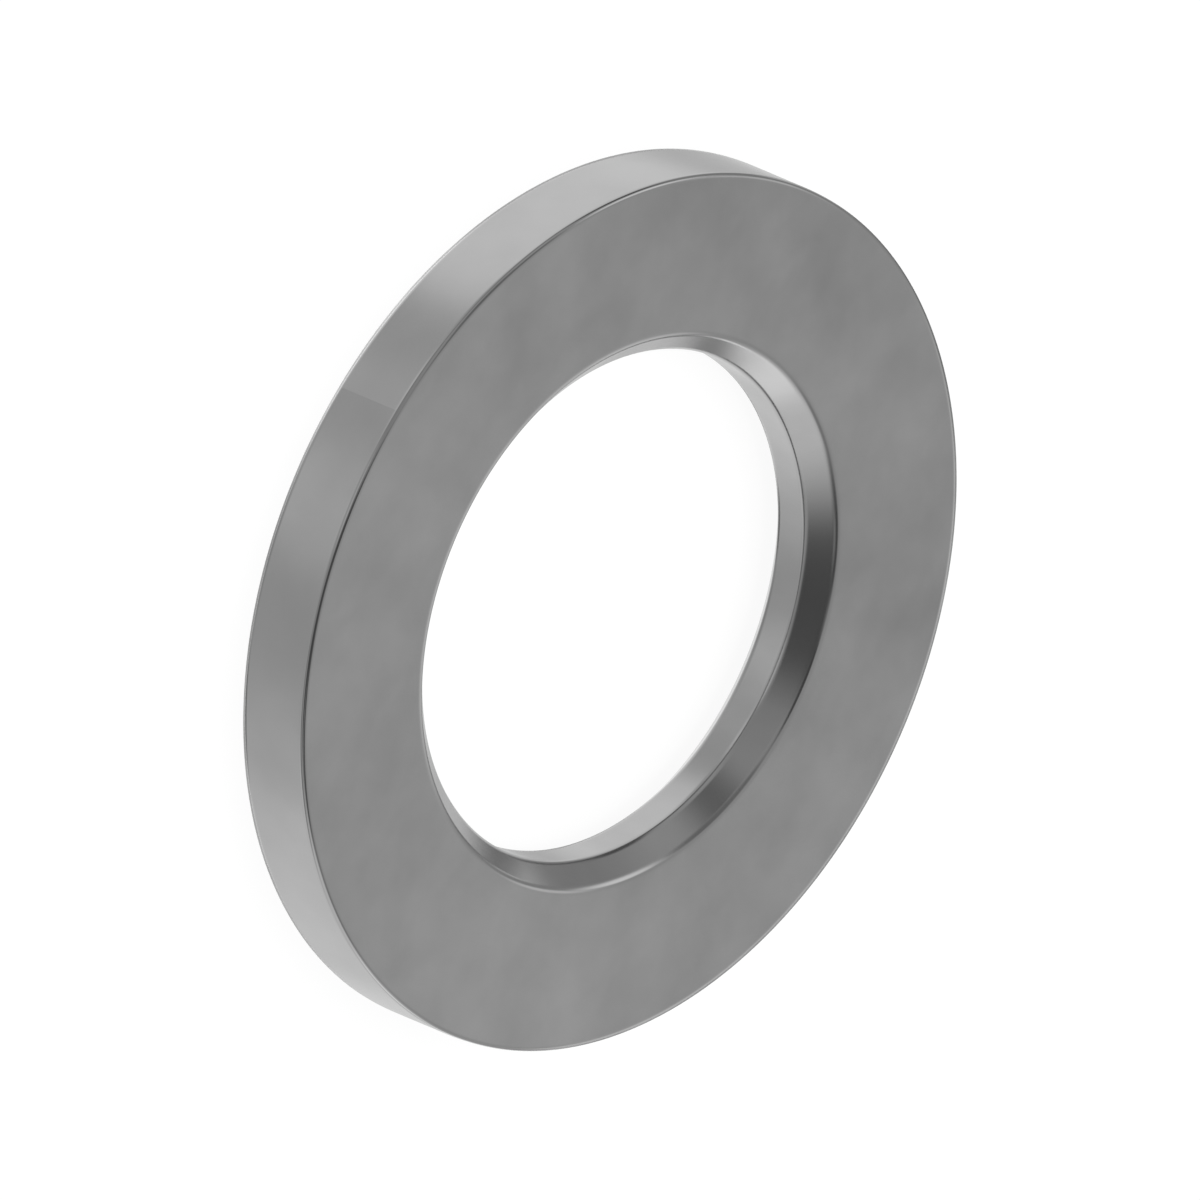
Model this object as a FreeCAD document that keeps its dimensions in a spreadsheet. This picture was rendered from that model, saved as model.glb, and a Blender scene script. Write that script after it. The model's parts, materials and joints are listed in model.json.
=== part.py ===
import FreeCAD, Part
import os
import Sketcher

# A flat washer: one turned steel ring whose bore is chamfered at both faces.
# The lower face lies in the XY plane, centred on the origin, and Z runs up along the bore.

# Driving sizes in millimetres. The chamfer is as wide as it is deep, so it lies at 45 degrees.
driving_sizes = {
    "outer_diameter": 18.0,
    "bore_diameter": 10.5,
    "thickness": 1.67,
    "bore_chamfer": 0.47,
    "rim_round": 0.06,
    "corner_round": 0.27,
}

# How far a computed edge may lie from where it is looked for.
match_tolerance = 1e-4


def make_sheet(document):
    """One row for each driving size: its name beside its value, with the name as alias."""
    sheet = document.addObject("Spreadsheet::Sheet", "sizes")
    for row, (alias, value) in enumerate(driving_sizes.items(), start=1):
        sheet.set(f"A{row}", alias)
        sheet.set(f"B{row}", str(value))
        sheet.setAlias(f"B{row}", alias)
    document.recompute()
    return sheet


def origin_plane(body, role):
    """The body's own origin plane with this role."""
    planes = [feature for feature in body.Origin.OriginFeatures if feature.Role == role]
    return planes[0]


def circle_edges(shape, radius, height):
    """Names of the full circles of this radius that lie at this height."""
    names = []
    for index, edge in enumerate(shape.Edges, start=1):
        curve = edge.Curve
        if not isinstance(curve, Part.Circle):
            continue
        same_radius = abs(curve.Radius - radius) < match_tolerance
        same_height = abs(curve.Center.z - height) < match_tolerance
        if same_radius and same_height:
            names.append(f"Edge{index}")
    return names


def draw_ring(body, sheet):
    """The outline of the ring: the outside and the bore, both centred on the axis."""
    sketch = body.newObject("Sketcher::SketchObject", "ring_outline")
    sketch.AttachmentSupport = (origin_plane(body, "XY_Plane"), [""])
    sketch.MapMode = "FlatFace"
    centre = FreeCAD.Vector(0, 0, 0)
    upward = FreeCAD.Vector(0, 0, 1)
    for alias in ("outer_diameter", "bore_diameter"):
        diameter = getattr(sheet, alias)
        circle = sketch.addGeometry(Part.Circle(centre, upward, diameter / 2), False)
        # The circle's centre is its point 3, and the sketch's origin is point 1 of geometry -1.
        sketch.addConstraint(Sketcher.Constraint("Coincident", circle, 3, -1, 1))
        size = sketch.addConstraint(Sketcher.Constraint("Diameter", circle, diameter))
        sketch.renameConstraint(size, alias)
        sketch.setExpression(f"Constraints.{alias}", f"sizes.{alias}")
    return sketch


def pad_ring(body, outline):
    """The outline raised from the lower face to the upper one."""
    ring = body.newObject("PartDesign::Pad", "ring_blank")
    ring.Profile = outline
    ring.setExpression("Length", "sizes.thickness")
    outline.Visibility = False


def dress_edges(body, kind, name, size_property, alias, places):
    """A fillet or chamfer on the circles at the given places, each a radius and a height."""
    body.Document.recompute()
    base = body.Tip
    edges = []
    for radius, height in places:
        edges += circle_edges(base.Shape, radius, height)
    dressing = body.newObject(kind, name)
    dressing.Base = (base, edges)
    dressing.setExpression(size_property, f"sizes.{alias}")


def build_washer(document, sheet):
    """The ring with its bore chamfers, its broken rims and the soft corners of the bore."""
    body = document.addObject("PartDesign::Body", "washer")
    body.Label = "washer"
    body.Placement = FreeCAD.Placement()

    pad_ring(body, draw_ring(body, sheet))

    lower = 0.0
    upper = sheet.thickness
    outer_radius = sheet.outer_diameter / 2
    bore_radius = sheet.bore_diameter / 2
    mouth_radius = bore_radius + sheet.bore_chamfer

    # The bore opens out at 45 degrees towards both faces.
    bore_rims = [(bore_radius, lower), (bore_radius, upper)]
    dress_edges(body, "PartDesign::Chamfer", "bore_chamfers", "Size", "bore_chamfer", bore_rims)

    # The sharp outer rims are broken by a small round.
    outer_rims = [(outer_radius, lower), (outer_radius, upper)]
    dress_edges(body, "PartDesign::Fillet", "rim_rounds", "Radius", "rim_round", outer_rims)

    # Each chamfer meets its face and the bore wall in a soft corner.
    chamfer_corners = [
        (mouth_radius, lower),
        (bore_radius, lower + sheet.bore_chamfer),
        (bore_radius, upper - sheet.bore_chamfer),
        (mouth_radius, upper),
    ]
    dress_edges(
        body, "PartDesign::Fillet", "corner_rounds", "Radius", "corner_round", chamfer_corners
    )
    return body


def check_document(document):
    """Stop if a feature could not be worked out."""
    for item in document.Objects:
        if "Invalid" in item.State or "Error" in item.State:
            raise RuntimeError(f"{item.Label} could not be worked out: {item.State}")


def write_part(body):
    """Check that the body is one sound solid, and write it under its own label."""
    shape = body.Shape
    if shape.isNull() or not shape.isValid():
        raise RuntimeError(f"{body.Label} has no valid shape")
    if len(shape.Solids) != 1:
        raise RuntimeError(f"{body.Label} has {len(shape.Solids)} solids, and it is one piece")
    shape.exportStep(os.path.join("parts", f"{body.Label}.step"))


document = FreeCAD.newDocument("flat_washer")
sizes = make_sheet(document)
washer = build_washer(document, sizes)
document.recompute()
check_document(document)

os.makedirs("parts", exist_ok=True)
write_part(washer)
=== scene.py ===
import json
import math

import bpy
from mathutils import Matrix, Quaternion, Vector


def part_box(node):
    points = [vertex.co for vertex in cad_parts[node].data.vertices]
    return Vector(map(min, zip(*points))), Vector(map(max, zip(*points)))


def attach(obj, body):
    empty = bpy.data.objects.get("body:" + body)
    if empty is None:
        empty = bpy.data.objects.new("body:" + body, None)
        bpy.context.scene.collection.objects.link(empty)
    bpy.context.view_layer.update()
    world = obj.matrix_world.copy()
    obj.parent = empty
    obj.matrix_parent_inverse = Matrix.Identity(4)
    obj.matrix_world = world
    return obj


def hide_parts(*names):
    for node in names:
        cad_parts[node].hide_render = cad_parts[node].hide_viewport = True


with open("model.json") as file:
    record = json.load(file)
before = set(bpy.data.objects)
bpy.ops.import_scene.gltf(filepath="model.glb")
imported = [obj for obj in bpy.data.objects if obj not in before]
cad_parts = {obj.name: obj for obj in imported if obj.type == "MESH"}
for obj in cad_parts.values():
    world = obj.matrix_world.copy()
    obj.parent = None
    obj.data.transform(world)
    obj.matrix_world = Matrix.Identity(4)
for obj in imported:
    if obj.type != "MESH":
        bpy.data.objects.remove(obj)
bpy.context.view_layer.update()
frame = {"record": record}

# A flat steel washer that lies on a pale studio floor and is looked down on.
# All in metres: Z is the axis of the bore and the lower face lies at z = 0.


# Node helpers. inputs maps a socket to a plain value, or to another node's output.
def newNode(tree, kind, inputs=None, **settings):
    node = tree.nodes.new(kind)
    for setting, value in settings.items():
        setattr(node, setting, value)
    for socket, value in (inputs or {}).items():
        if isinstance(value, bpy.types.NodeSocket):
            tree.links.new(value, node.inputs[socket])
        else:
            node.inputs[socket].default_value = value
    return node


def calculate(tree, operation, *values, clamp=False):
    inputs = dict(enumerate(values))
    return newNode(tree, "ShaderNodeMath", inputs, operation=operation, use_clamp=clamp).outputs[0]


def moveVector(tree, operation, inputs):
    return newNode(tree, "ShaderNodeVectorMath", inputs, operation=operation).outputs[0]


def remap(tree, value, start, end, first, last, kind="LINEAR"):
    inputs = {"Value": value, "From Min": start, "From Max": end, "To Min": first, "To Max": last}
    return newNode(tree, "ShaderNodeMapRange", inputs, interpolation_type=kind).outputs[0]


# A Mix node's sockets go by number: 0 is the share, 2 and 3 hold levels, 6 and 7 hold colours.
def mixLevel(tree, share, first, second):
    return newNode(tree, "ShaderNodeMix", {0: share, 2: first, 3: second}).outputs[0]


def mixColour(tree, share, first, second):
    inputs = {0: share, 6: first, 7: second}
    return newNode(tree, "ShaderNodeMix", inputs, data_type="RGBA").outputs[2]


def newGroup(name, inputs, outputs):
    group = bpy.data.node_groups.new(name, "ShaderNodeTree")
    for socketName, socketType, value in inputs:
        socket = group.interface.new_socket(socketName, in_out="INPUT", socket_type=socketType)
        if value is not None:
            socket.default_value = value
    for socketName, socketType in outputs:
        group.interface.new_socket(socketName, in_out="OUTPUT", socket_type=socketType)
    return group, group.nodes.new("NodeGroupInput").outputs, group.nodes.new("NodeGroupOutput").inputs


def placeGroup(tree, group, inputs):
    return newNode(tree, "ShaderNodeGroup", inputs, node_tree=group).outputs


def towards(azimuth, elevation):
    # unit vector from degrees round from +X and degrees above the horizon
    turn = math.radians(azimuth)
    rise = math.radians(elevation)
    return Vector((math.cos(rise) * math.cos(turn), math.cos(rise) * math.sin(turn), math.sin(rise)))


# The washer: one section turned round the axis. Tumbling has rolled each corner off: over its reach
# both flanks sink towards it, and the light on it turns evenly from one flank to the other. worn,
# which is 1 at most, sets how far out from its tip it is burnished.
washerShape = {
    "rim": {"reach": 0.000130, "sink": 0.000008, "worn": 1.0},      # upper outer rim
    "foot": {"reach": 0.000130, "sink": 0.000005, "worn": 1.0},     # lower outer rim
    "mouth": {"reach": 0.000130, "sink": 0.000010, "worn": 0.5},    # between each face and its chamfer
    "throat": {"reach": 0.000100, "sink": 0.000011, "worn": 0.5},   # between upper chamfer and bore wall
    "outlet": {"reach": 0.000100, "sink": 0.000003, "worn": 0.5},   # between bore wall and lower chamfer
    "cornerSteps": 12,        # across each corner
    "flatStep": 0.0005,       # widest step along the flat stretches
    "around": 360,            # steps round the axis
    "cornerRound": 0.00027,   # the model's own round at both ends of a chamfer
}

millimetresPerMetre = 1000

washerLow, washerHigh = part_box("washer")
outerRadius = washerHigh.x
thickness = washerHigh.z - washerLow.z
boreMount = next(mount for mount in frame["record"]["mounts"] if mount["name"] == "bore")
boreRadius = boreMount["dims"]["r_mm"] / millimetresPerMetre
straightWall = boreMount["dims"]["length_mm"] / millimetresPerMetre

# A chamfer is as wide as it is deep, so the section turns by 45 degrees at each end of it. The model's
# straight wall stops where the round there begins, so the chamfer's size is worked out from both.
chamferTurn = math.radians(45)
roundTangent = washerShape["cornerRound"] * math.tan(chamferTurn / 2)
chamfer = (thickness - straightWall) / 2 - roundTangent

# the washer's material slots
groundFinish = 0
turnedFinish = 1


def rollCorner(corner, before, after, roll, steps):
    # points across one corner, each with its place, its outward direction, its nearness to the tip
    # times how worn the corner is, and whether it lies at the tip or past it
    outBefore = Vector((before.y, -before.x))
    outAfter = Vector((after.y, -after.x))
    tip = corner - (outBefore + outAfter) * roll["sink"] / (1 + outBefore.dot(outAfter))
    points = []
    for step in range(steps + 1):
        share = step / steps
        signedNearness = 2 * share - 1
        nearness = 1 - abs(signedNearness)
        along = signedNearness * roll["reach"]
        outward = outBefore.lerp(outAfter, share).normalized()
        if 2 * step < steps:
            place = corner + before * along - outBefore * roll["sink"] * nearness ** 2
        elif 2 * step > steps:
            place = corner + after * along - outAfter * roll["sink"] * nearness ** 2
        else:
            place = tip
        points.append((place, outward, nearness * roll["worn"], 2 * step >= steps))
    return points


def washerSection(shape):
    # each corner of the section: radius, height, roll, and the finish of the flank that follows
    mouthRadius = boreRadius + chamfer
    corners = [
        (outerRadius, washerLow.z, shape["foot"], turnedFinish),
        (outerRadius, washerHigh.z, shape["rim"], groundFinish),
        (mouthRadius, washerHigh.z, shape["mouth"], turnedFinish),
        (boreRadius, washerHigh.z - chamfer, shape["throat"], turnedFinish),
        (boreRadius, washerLow.z + chamfer, shape["outlet"], turnedFinish),
        (mouthRadius, washerLow.z, shape["mouth"], groundFinish),
    ]
    places = [Vector((radius, height)) for radius, height, _, _ in corners]
    section = []
    finishBefore = corners[-1][-1]
    for index, (_, _, roll, finishAfter) in enumerate(corners):
        place = places[index]
        before = (place - places[index - 1]).normalized()
        after = (places[(index + 1) % len(places)] - place).normalized()
        rolled = rollCorner(place, before, after, roll, shape["cornerSteps"])
        for point, outward, nearness, passed in rolled:
            section.append((point, outward, nearness, finishAfter if passed else finishBefore))
        finishBefore = finishAfter
    return splitFlats(section, shape["flatStep"])


def splitFlats(section, widest):
    # more points where two neighbours lie further apart than the widest step
    result = []
    for index, point in enumerate(section):
        result.append(point)
        place, outward, _, finish = point
        following = section[(index + 1) % len(section)][0]
        pieces = math.ceil((following - place).length / widest)
        for step in range(1, pieces):
            result.append((place.lerp(following, step / pieces), outward, 0.0, finish))
    return result


def buildWasher(shape):
    section = washerSection(shape)
    around = shape["around"]
    across = len(section)
    vertices = []
    normals = []
    nearnesses = []
    for step in range(around):
        angle = 2 * math.pi * step / around
        cosine = math.cos(angle)
        sine = math.sin(angle)
        for place, outward, nearness, _ in section:
            vertices.append((place.x * cosine, place.x * sine, place.y))
            normals.append((outward.x * cosine, outward.x * sine, outward.y))
            nearnesses.append(nearness)
    faces = []
    finishes = [finish for _, _, _, finish in section] * around
    for step in range(around):
        here = step * across
        ahead = (step + 1) % around * across
        for index in range(across):
            following = (index + 1) % across
            faces.append((here + index, ahead + index, ahead + following, here + following))
    mesh = bpy.data.meshes.new("steelWasher")
    mesh.from_pydata(vertices, [], faces)
    mesh.polygons.foreach_set("use_smooth", [True] * len(faces))
    mesh.polygons.foreach_set("material_index", finishes)
    corner = mesh.attributes.new("nearCorner", "FLOAT", "POINT")
    corner.data.foreach_set("value", nearnesses)
    mesh.normals_split_custom_set_from_vertices(normals)
    mesh.update()
    washer = bpy.data.objects.new("steelWasher", mesh)
    bpy.context.scene.collection.objects.link(washer)
    return washer


washer = buildWasher(washerShape)
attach(washer, "root")
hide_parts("washer")
print("washer built:", len(washer.data.polygons), "faces")


# Effects that both finishes share. Places and sizes in them are in millimetres.
steelEffects = {
    "cloudDistortion": 0.1,
    "cloudSpan": (0.25, 0.75),   # levels of the noise that become 0 and 1
    "grainDetail": 2.0,
    "grainRoughness": 0.6,
    "patchDetail": 2.0,
    "patchSpan": (0.3, 0.7),     # levels of the noise where a corner is least and most rubbed
    "leastRub": 0.4,             # how much of the strength is left where it is least rubbed
    "fullNearness": 0.6,         # nearness from which a corner is burnished through
}


def buildClouds(effects):
    # soft uneven bloom of the steel, from 0 to 1
    group, given, result = newGroup(
        "steelClouds",
        [
            ("Place", "NodeSocketVector", None),
            ("Size", "NodeSocketFloat", 2.0),
            ("Detail", "NodeSocketFloat", 3.0),
            ("Roughness", "NodeSocketFloat", 0.5),
            ("Shift", "NodeSocketVector", None),
        ],
        [("Tone", "NodeSocketFloat")],
    )
    place = moveVector(group, "ADD", {0: given["Place"], 1: given["Shift"]})
    noise = newNode(
        group,
        "ShaderNodeTexNoise",
        {
            "Vector": place,
            "Scale": calculate(group, "DIVIDE", 1.0, given["Size"]),
            "Detail": given["Detail"],
            "Roughness": given["Roughness"],
            "Distortion": effects["cloudDistortion"],
        },
    )
    low, high = effects["cloudSpan"]
    group.links.new(remap(group, noise.outputs[0], low, high, 0.0, 1.0), result["Tone"])
    return group


def buildGrain(effects):
    # fine tool marks that run along the place's X, from 0 to 1; Spacing is across them
    group, given, result = newGroup(
        "fineGrain",
        [
            ("Place", "NodeSocketVector", None),
            ("Spacing", "NodeSocketFloat", 0.05),
            ("Stretch", "NodeSocketFloat", 10.0),
        ],
        [("Height", "NodeSocketFloat")],
    )
    shrink = calculate(group, "DIVIDE", 1.0, given["Stretch"])
    squeeze = newNode(group, "ShaderNodeCombineXYZ", {"X": shrink, "Y": 1.0, "Z": 1.0}).outputs[0]
    place = moveVector(group, "MULTIPLY", {0: given["Place"], 1: squeeze})
    scale = calculate(group, "DIVIDE", 1.0, given["Spacing"])
    noise = newNode(
        group,
        "ShaderNodeTexNoise",
        {
            "Vector": place,
            "Scale": scale,
            "Detail": effects["grainDetail"],
            "Roughness": effects["grainRoughness"],
        },
    )
    group.links.new(noise.outputs[0], result["Height"])
    return group


def buildRub(effects):
    # where a corner is burnished: strongest on it, and uneven along it
    group, given, result = newGroup(
        "rubbedCorner",
        [
            ("Nearness", "NodeSocketFloat", 0.0),
            ("Place", "NodeSocketVector", None),
            ("Patch", "NodeSocketFloat", 1.5),
            ("Strength", "NodeSocketFloat", 0.5),
        ],
        [("Mask", "NodeSocketFloat")],
    )
    scale = calculate(group, "DIVIDE", 1.0, given["Patch"])
    noise = newNode(
        group,
        "ShaderNodeTexNoise",
        {"Vector": given["Place"], "Scale": scale, "Detail": effects["patchDetail"]},
    )
    low, high = effects["patchSpan"]
    patches = remap(group, noise.outputs[0], low, high, effects["leastRub"], 1.0)
    ridge = remap(group, given["Nearness"], 0.0, effects["fullNearness"], 0.0, 1.0, "SMOOTHSTEP")
    worn = calculate(group, "MULTIPLY", patches, ridge)
    group.links.new(calculate(group, "MULTIPLY", worn, given["Strength"]), result["Mask"])
    return group


cloudGroup = buildClouds(steelEffects)
grainGroup = buildGrain(steelEffects)
rubGroup = buildRub(steelEffects)


def millimetres(tree):
    place = newNode(tree, "ShaderNodeTexCoord").outputs["Object"]
    return moveVector(tree, "SCALE", {0: place, "Scale": millimetresPerMetre})


def wallPlace(tree, place, joinAngle):
    # the walls unrolled: length round the axis, height, distance from the axis. The angle round the
    # axis jumps at half a turn, so the join is turned to there.
    turned = newNode(
        tree, "ShaderNodeVectorRotate", {"Vector": place, "Angle": math.radians(180 - joinAngle)}
    )
    parts = newNode(tree, "ShaderNodeSeparateXYZ", {0: turned.outputs[0]}).outputs
    angle = calculate(tree, "ARCTAN2", parts["Y"], parts["X"])
    flat = newNode(tree, "ShaderNodeCombineXYZ", {"X": parts["X"], "Y": parts["Y"]}).outputs[0]
    radius = newNode(tree, "ShaderNodeVectorMath", {0: flat}, operation="LENGTH").outputs["Value"]
    length = calculate(tree, "MULTIPLY", angle, outerRadius * millimetresPerMetre)
    unrolled = newNode(tree, "ShaderNodeCombineXYZ", {"X": length, "Y": parts["Z"], "Z": radius})
    return unrolled.outputs[0], angle


middleTone = 0.5


def steelTone(tree, place, drift, look):
    # the clouds and a slow drift, added to the middle tone and kept from 0 to 1
    layers = [calculate(tree, "MULTIPLY", drift, look["drift"])]
    for layer in look["clouds"]:
        inputs = {"Place": place, "Size": layer["size"], "Detail": layer["detail"], "Shift": layer["shift"]}
        tone = placeGroup(tree, cloudGroup, inputs)["Tone"]
        layers.append(remap(tree, tone, 0.0, 1.0, -layer["share"], layer["share"]))
    total = calculate(tree, "ADD", layers[0], middleTone)
    for layer in layers[1:]:
        total = calculate(tree, "ADD", total, layer)
    return calculate(tree, "ADD", total, 0.0, clamp=True)


def finishSteel(material, look, place, drift):
    tree = material.node_tree
    tone = steelTone(tree, place, drift, look)
    nearness = newNode(tree, "ShaderNodeAttribute", attribute_name="nearCorner").outputs["Fac"]
    rubbed = placeGroup(
        tree,
        rubGroup,
        {"Nearness": nearness, "Place": place, "Patch": look["rubPatch"], "Strength": look["rub"]},
    )["Mask"]
    grain = placeGroup(
        tree,
        grainGroup,
        {"Place": place, "Spacing": look["grainSpacing"], "Stretch": look["grainStretch"]},
    )["Height"]
    colour = mixColour(tree, tone, look["dark"], look["light"])
    colour = mixColour(tree, rubbed, colour, look["rubbed"])
    dull = look["roughness"] + look["spread"]
    polished = look["roughness"] - look["spread"]
    rough = remap(tree, tone, 0.0, 1.0, dull, polished)
    rough = mixLevel(tree, rubbed, rough, look["rubbedRoughness"])
    bump = newNode(
        tree, "ShaderNodeBump", {"Height": grain, "Strength": 1.0, "Distance": look["grainDepth"]}
    )
    shader = newNode(
        tree,
        "ShaderNodeBsdfPrincipled",
        {"Base Color": colour, "Metallic": 1.0, "Roughness": rough, "Normal": bump.outputs[0]},
    )
    newNode(tree, "ShaderNodeOutputMaterial", {"Surface": shader.outputs[0]})


def emptyMaterial(name):
    material = bpy.data.materials.new(name)
    material.use_nodes = True
    material.node_tree.nodes.clear()
    return material


groundLook = {
    "dark": (0.345, 0.345, 0.345, 1),
    "light": (0.495, 0.495, 0.495, 1),
    "rubbed": (0.42, 0.42, 0.42, 1),
    "roughness": 0.24,
    "spread": 0.02,            # the dark clouds are duller by this and the light ones smoother
    "rubbedRoughness": 0.09,
    "rub": 1.0,
    "rubPatch": 1.5,
    "clouds": [
        {"size": 1.6, "detail": 3.0, "share": 0.24, "shift": (3.1, 7.4, 0.0)},
        {"size": 4.5, "detail": 1.0, "share": 0.22, "shift": (8.3, 1.2, 4.0)},
    ],
    "driftTowards": -20.0,     # degrees round from +X: the side of the face that is lighter
    "drift": 0.15,             # how much lighter, out at the rim
    "grainSpacing": 0.04,
    "grainStretch": 1.0,
    "grainDepth": 0.0000003,   # metres
}


def buildGroundSteel(look):
    material = emptyMaterial("groundSteel")
    tree = material.node_tree
    place = millimetres(tree)
    lighter = towards(look["driftTowards"], 0) / (outerRadius * millimetresPerMetre)
    across = newNode(tree, "ShaderNodeVectorMath", {0: place, 1: lighter}, operation="DOT_PRODUCT")
    finishSteel(material, look, place, across.outputs["Value"])
    return material


turnedLook = {
    "dark": (0.345, 0.345, 0.345, 1),
    "light": (0.495, 0.495, 0.495, 1),
    "rubbed": (0.42, 0.42, 0.42, 1),
    "roughness": 0.23,
    "spread": 0.02,            # the dark clouds are duller by this and the light ones smoother
    "rubbedRoughness": 0.09,
    "rub": 1.0,
    "rubPatch": 1.5,
    "clouds": [
        {"size": 1.6, "detail": 3.0, "share": 0.14, "shift": (1.7, 0.4, 5.2)},
        {"size": 5.0, "detail": 1.0, "share": 0.12, "shift": (4.6, 9.1, 2.0)},
    ],
    "joinAngle": 258.0,        # where the walls' pattern wraps round and their tone steps in a faint line, degrees round from +X
    "drift": 0.045,            # per radian round from there, so one side of the line is lighter
    "grainSpacing": 0.03,
    "grainStretch": 30.0,
    "grainDepth": 0.0000001,   # metres
}


def buildTurnedSteel(look):
    material = emptyMaterial("turnedSteel")
    tree = material.node_tree
    place, angle = wallPlace(tree, millimetres(tree), look["joinAngle"])
    finishSteel(material, look, place, angle)
    return material


washer.data.materials.append(buildGroundSteel(groundLook))
washer.data.materials.append(buildTurnedSteel(turnedLook))
print("steel mixed:", len(washer.data.materials), "finishes")


# The camera looks down on the washer and is rolled, so that the ring stands tall in the frame.
cameraView = {
    "azimuth": -90.0,
    "elevation": 40.34,
    "roll": 112.86,
    "imageSize": 1200,
    "faceCentre": (630.0, 612.6),   # where the middle of the upper face lies in the image
    "radiusInImage": 459.7,         # the outer rim's radius, along its long axis
    "distance": 0.08,               # back from the point that it is aimed at
    "nearest": 0.001,               # the range that it sees
    "farthest": 10.0,
}


def buildCamera(view):
    toCamera = towards(view["azimuth"], view["elevation"])
    turn = (-toCamera).to_track_quat("-Z", "Y") @ Quaternion((0, 0, 1), math.radians(view["roll"]))
    right = turn @ Vector((1, 0, 0))
    upward = turn @ Vector((0, 1, 0))
    pixel = outerRadius / view["radiusInImage"]
    half = view["imageSize"] / 2
    centreX, centreY = view["faceCentre"]
    aim = Vector((0, 0, washerHigh.z))
    aim -= right * (centreX - half) * pixel
    aim += upward * (centreY - half) * pixel
    data = bpy.data.cameras.new("camera")
    data.type = "ORTHO"
    data.ortho_scale = view["imageSize"] * pixel
    data.clip_start = view["nearest"]
    data.clip_end = view["farthest"]
    camera = bpy.data.objects.new("camera", data)
    camera.rotation_mode = "QUATERNION"
    camera.rotation_quaternion = turn
    camera.location = aim + toCamera * view["distance"]
    bpy.context.scene.collection.objects.link(camera)
    bpy.context.scene.camera = camera


buildCamera(cameraView)
print("camera placed")


# The studio. The metal reflects the ground, the sky, a dark line where they meet, and soft cards.
studioLight = {
    "backgroundLevel": 1.0,   # what the camera sees beyond the floor
    "mattLevel": 0.60,        # even light on all that is matt
    "groundLevel": 1.05,      # what the metal reflects from below
    "skyLevel": 0.52,         # and from above
    "blendFrom": -0.45,       # heights of a direction between which one turns into the other
    "blendTo": 0.10,
    "lineHeight": 0.01,       # the dark line round the horizon
    "lineReach": 0.17,
    "lineCore": 0.04,
    "lineLevel": 0.25,
}

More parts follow.
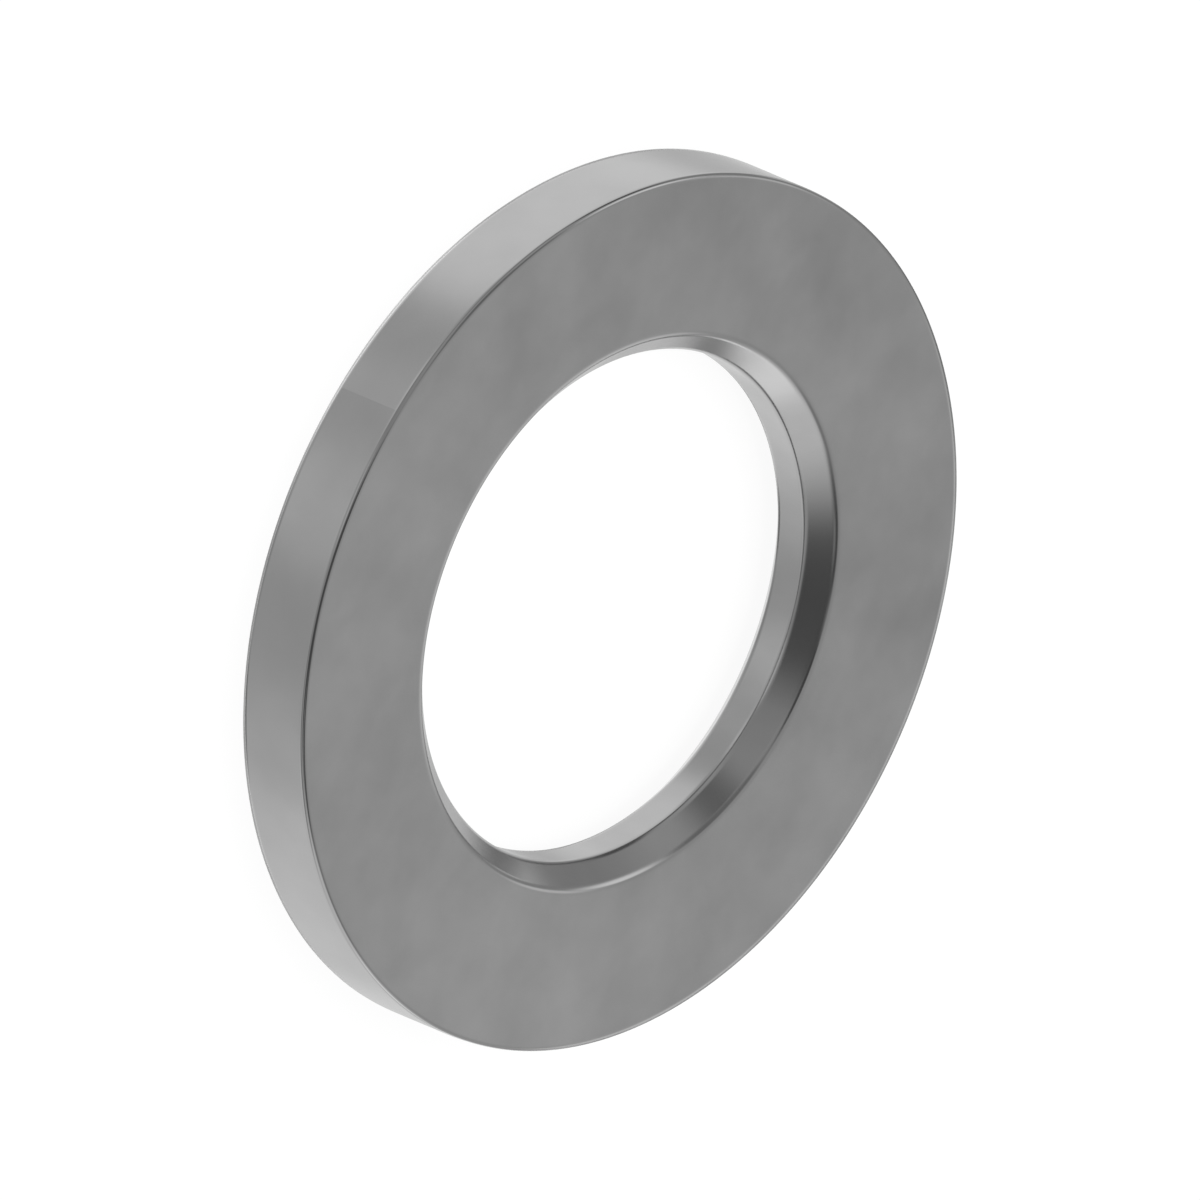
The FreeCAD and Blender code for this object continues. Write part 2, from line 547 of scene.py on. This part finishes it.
# Each card covers the ones before it. Azimuth is in degrees round from +X and elevation above the
# horizon. On a sphere of radius 1, reach is how far a card spreads from its middle, and core is how
# much of that is even.
softCards = {
    "front sky": {"azimuth": -85, "elevation": 28, "reach": 0.85, "core": 0.5, "level": 0.42},
    "front line gap": {"azimuth": -90, "elevation": 12, "reach": 0.30, "core": 0.4, "level": 0.75},
    "back wall high": {"azimuth": 89, "elevation": 12, "reach": 0.36, "core": 0.55, "level": 0.88},
    "back wall low": {"azimuth": 89, "elevation": -12, "reach": 0.36, "core": 0.55, "level": 0.84},
    "back left wall": {"azimuth": 106, "elevation": 6, "reach": 0.16, "core": 0.4, "level": 0.52},
    "right back wall": {"azimuth": 73, "elevation": 14, "reach": 0.20, "core": 0.4, "level": 0.98},
    "right back wall low": {"azimuth": 71, "elevation": -2, "reach": 0.24, "core": 0.4, "level": 0.86},
    "front floor": {"azimuth": -70, "elevation": -42, "reach": 0.92, "core": 0.5, "level": 0.60},
    "front patch": {"azimuth": -86, "elevation": -34, "reach": 0.34, "core": 0.2, "level": 0.90},
    "front left floor": {"azimuth": -134, "elevation": -40, "reach": 0.26, "core": 0.3, "level": 0.53},
    "front left dip": {"azimuth": -138, "elevation": -19, "reach": 0.36, "core": 0.3, "level": 0.54},
    "right floor": {"azimuth": -16, "elevation": -40, "reach": 0.40, "core": 0.1, "level": 0.78},
    "right floor edge": {"azimuth": 8, "elevation": -40, "reach": 0.30, "core": 0.2, "level": 1.01},
    "under glow": {"azimuth": 160, "elevation": -74, "reach": 0.34, "core": 0.4, "level": 1.75},
    "nadir": {"azimuth": -55, "elevation": -66, "reach": 0.29, "core": 0.3, "level": 0.42},
    "right nadir": {"azimuth": -2, "elevation": -61, "reach": 0.26, "core": 0.3, "level": 0.20},
    "back right floor": {"azimuth": 56, "elevation": -40, "reach": 0.26, "core": 0.3, "level": 0.89},
    "back floor": {"azimuth": 84, "elevation": -34, "reach": 0.30, "core": 0.3, "level": 0.84},
    "back right dip": {"azimuth": 76, "elevation": -24, "reach": 0.18, "core": 0.3, "level": 0.74},
    "back left dip": {"azimuth": 101, "elevation": -25, "reach": 0.22, "core": 0.3, "level": 0.72},
    "back left floor": {"azimuth": 118, "elevation": -36, "reach": 0.34, "core": 0.3, "level": 0.68},
    "right softbox": {"azimuth": 18, "elevation": 16, "reach": 0.68, "core": 0.45, "level": 0.95},
    "right softbox middle": {"azimuth": 34, "elevation": 12, "reach": 0.30, "core": 0.3, "level": 1.42},
    "right gap": {"azimuth": 57, "elevation": -6, "reach": 0.20, "core": 0.3, "level": 1.32},
    "right gap edge": {"azimuth": 51, "elevation": 1, "reach": 0.20, "core": 0.3, "level": 1.80},
    "right top gap": {"azimuth": 40, "elevation": 47, "reach": 0.24, "core": 0.3, "level": 0.34},
    "left flag": {"azimuth": 145, "elevation": 8, "reach": 0.68, "core": 0.5, "level": 0.40},
    "left line": {"azimuth": 176, "elevation": 8, "reach": 0.30, "core": 0.4, "level": 0.12},
    "left flag edge": {"azimuth": 132, "elevation": 2, "reach": 0.22, "core": 0.3, "level": 0.94},
    "left top card": {"azimuth": 150, "elevation": 41, "reach": 0.29, "core": 0.3, "level": 1.25},
    "left top gap": {"azimuth": -178, "elevation": 61, "reach": 0.36, "core": 0.5, "level": 0.25},
    "back left top": {"azimuth": 123, "elevation": 35, "reach": 0.22, "core": 0.3, "level": 0.92},
    "left notch": {"azimuth": -150, "elevation": 42, "reach": 0.22, "core": 0.35, "level": 0.12},
    "camera side": {"azimuth": -52, "elevation": 51, "reach": 0.60, "core": 0.5, "level": 0.11},
    "zenith": {"azimuth": -90, "elevation": 82, "reach": 0.26, "core": 0.4, "level": 0.08},
    "right top flag": {"azimuth": 5, "elevation": 63, "reach": 0.40, "core": 0.3, "level": 0.10},
    "right top spot": {"azimuth": -12, "elevation": 58, "reach": 0.18, "core": 0.3, "level": 0.36},
    "back top": {"azimuth": 90, "elevation": 42, "reach": 0.40, "core": 0.5, "level": 0.60},
}


def buildStudio(light, cards):
    world = bpy.data.worlds.new("studio")
    bpy.context.scene.world = world
    world.use_nodes = True
    world.cycles.sampling_method = "NONE"
    tree = world.node_tree
    tree.nodes.clear()
    direction = newNode(tree, "ShaderNodeTexCoord").outputs["Generated"]
    height = newNode(tree, "ShaderNodeSeparateXYZ", {0: direction}).outputs["Z"]
    level = remap(
        tree,
        height,
        light["blendFrom"],
        light["blendTo"],
        light["groundLevel"],
        light["skyLevel"],
        "SMOOTHSTEP",
    )
    offLine = calculate(tree, "ABSOLUTE", calculate(tree, "SUBTRACT", height, light["lineHeight"]))
    share = remap(tree, offLine, light["lineCore"], light["lineReach"], 1.0, 0.0, "SMOOTHSTEP")
    level = mixLevel(tree, share, level, light["lineLevel"])
    for name, card in cards.items():
        place = towards(card["azimuth"], card["elevation"])
        away = newNode(tree, "ShaderNodeVectorMath", {0: direction, 1: place}, operation="DISTANCE")
        away.label = name
        even = card["reach"] * card["core"]
        share = remap(tree, away.outputs["Value"], even, card["reach"], 1.0, 0.0, "SMOOTHSTEP")
        level = mixLevel(tree, share, level, card["level"])
    ray = newNode(tree, "ShaderNodeLightPath").outputs
    mirrored = calculate(tree, "MAXIMUM", ray["Is Glossy Ray"], ray["Is Transmission Ray"])
    level = mixLevel(tree, mirrored, light["mattLevel"], level)
    level = mixLevel(tree, ray["Is Camera Ray"], level, light["backgroundLevel"])
    background = newNode(tree, "ShaderNodeBackground", {"Color": (1, 1, 1, 1), "Strength": level})
    newNode(tree, "ShaderNodeOutputWorld", {"Surface": background.outputs[0]})


buildStudio(studioLight, softCards)

overheadLamp = {
    "level": 0.40,         # how bright it makes a white matt floor
    "spread": 70.0,        # degrees, so that shadows stay soft
    "azimuth": 140.0,
    "elevation": 72.0,
}


def buildLamp(lamp):
    data = bpy.data.lights.new("overheadLamp", "SUN")
    data.energy = lamp["level"] * math.pi
    data.angle = math.radians(lamp["spread"])
    light = bpy.data.objects.new("overheadLamp", data)
    light.rotation_mode = "QUATERNION"
    light.rotation_quaternion = (-towards(lamp["azimuth"], lamp["elevation"])).to_track_quat("-Z", "Y")
    light.visible_glossy = False
    bpy.context.scene.collection.objects.link(light)


buildLamp(overheadLamp)

studioFloor = {
    "halfWidth": 0.5,
    "gap": 0.00001,                   # below the washer's lower face
    "colour": (0.13, 0.13, 0.13, 1),  # of the matt part, which takes the shadow
    "glow": 0.91,                     # white that only the camera sees
}


def buildFloor(floor):
    half = floor["halfWidth"]
    height = washerLow.z - floor["gap"]
    mesh = bpy.data.meshes.new("floor")
    corners = [(-half, -half, height), (half, -half, height), (half, half, height), (-half, half, height)]
    mesh.from_pydata(corners, [], [(0, 1, 2, 3)])
    plane = bpy.data.objects.new("floor", mesh)
    bpy.context.scene.collection.objects.link(plane)
    plane.visible_glossy = False
    material = emptyMaterial("paleFloor")
    tree = material.node_tree
    matt = newNode(tree, "ShaderNodeBsdfDiffuse", {"Color": floor["colour"]})
    seen = newNode(tree, "ShaderNodeLightPath").outputs["Is Camera Ray"]
    strength = calculate(tree, "MULTIPLY", seen, floor["glow"])
    glow = newNode(tree, "ShaderNodeEmission", {"Strength": strength})
    both = newNode(tree, "ShaderNodeAddShader", {0: matt.outputs[0], 1: glow.outputs[0]})
    newNode(tree, "ShaderNodeOutputMaterial", {"Surface": both.outputs[0]})
    mesh.materials.append(material)


buildFloor(studioFloor)
print("studio lit")

bpy.context.scene.view_settings.view_transform = "Standard"
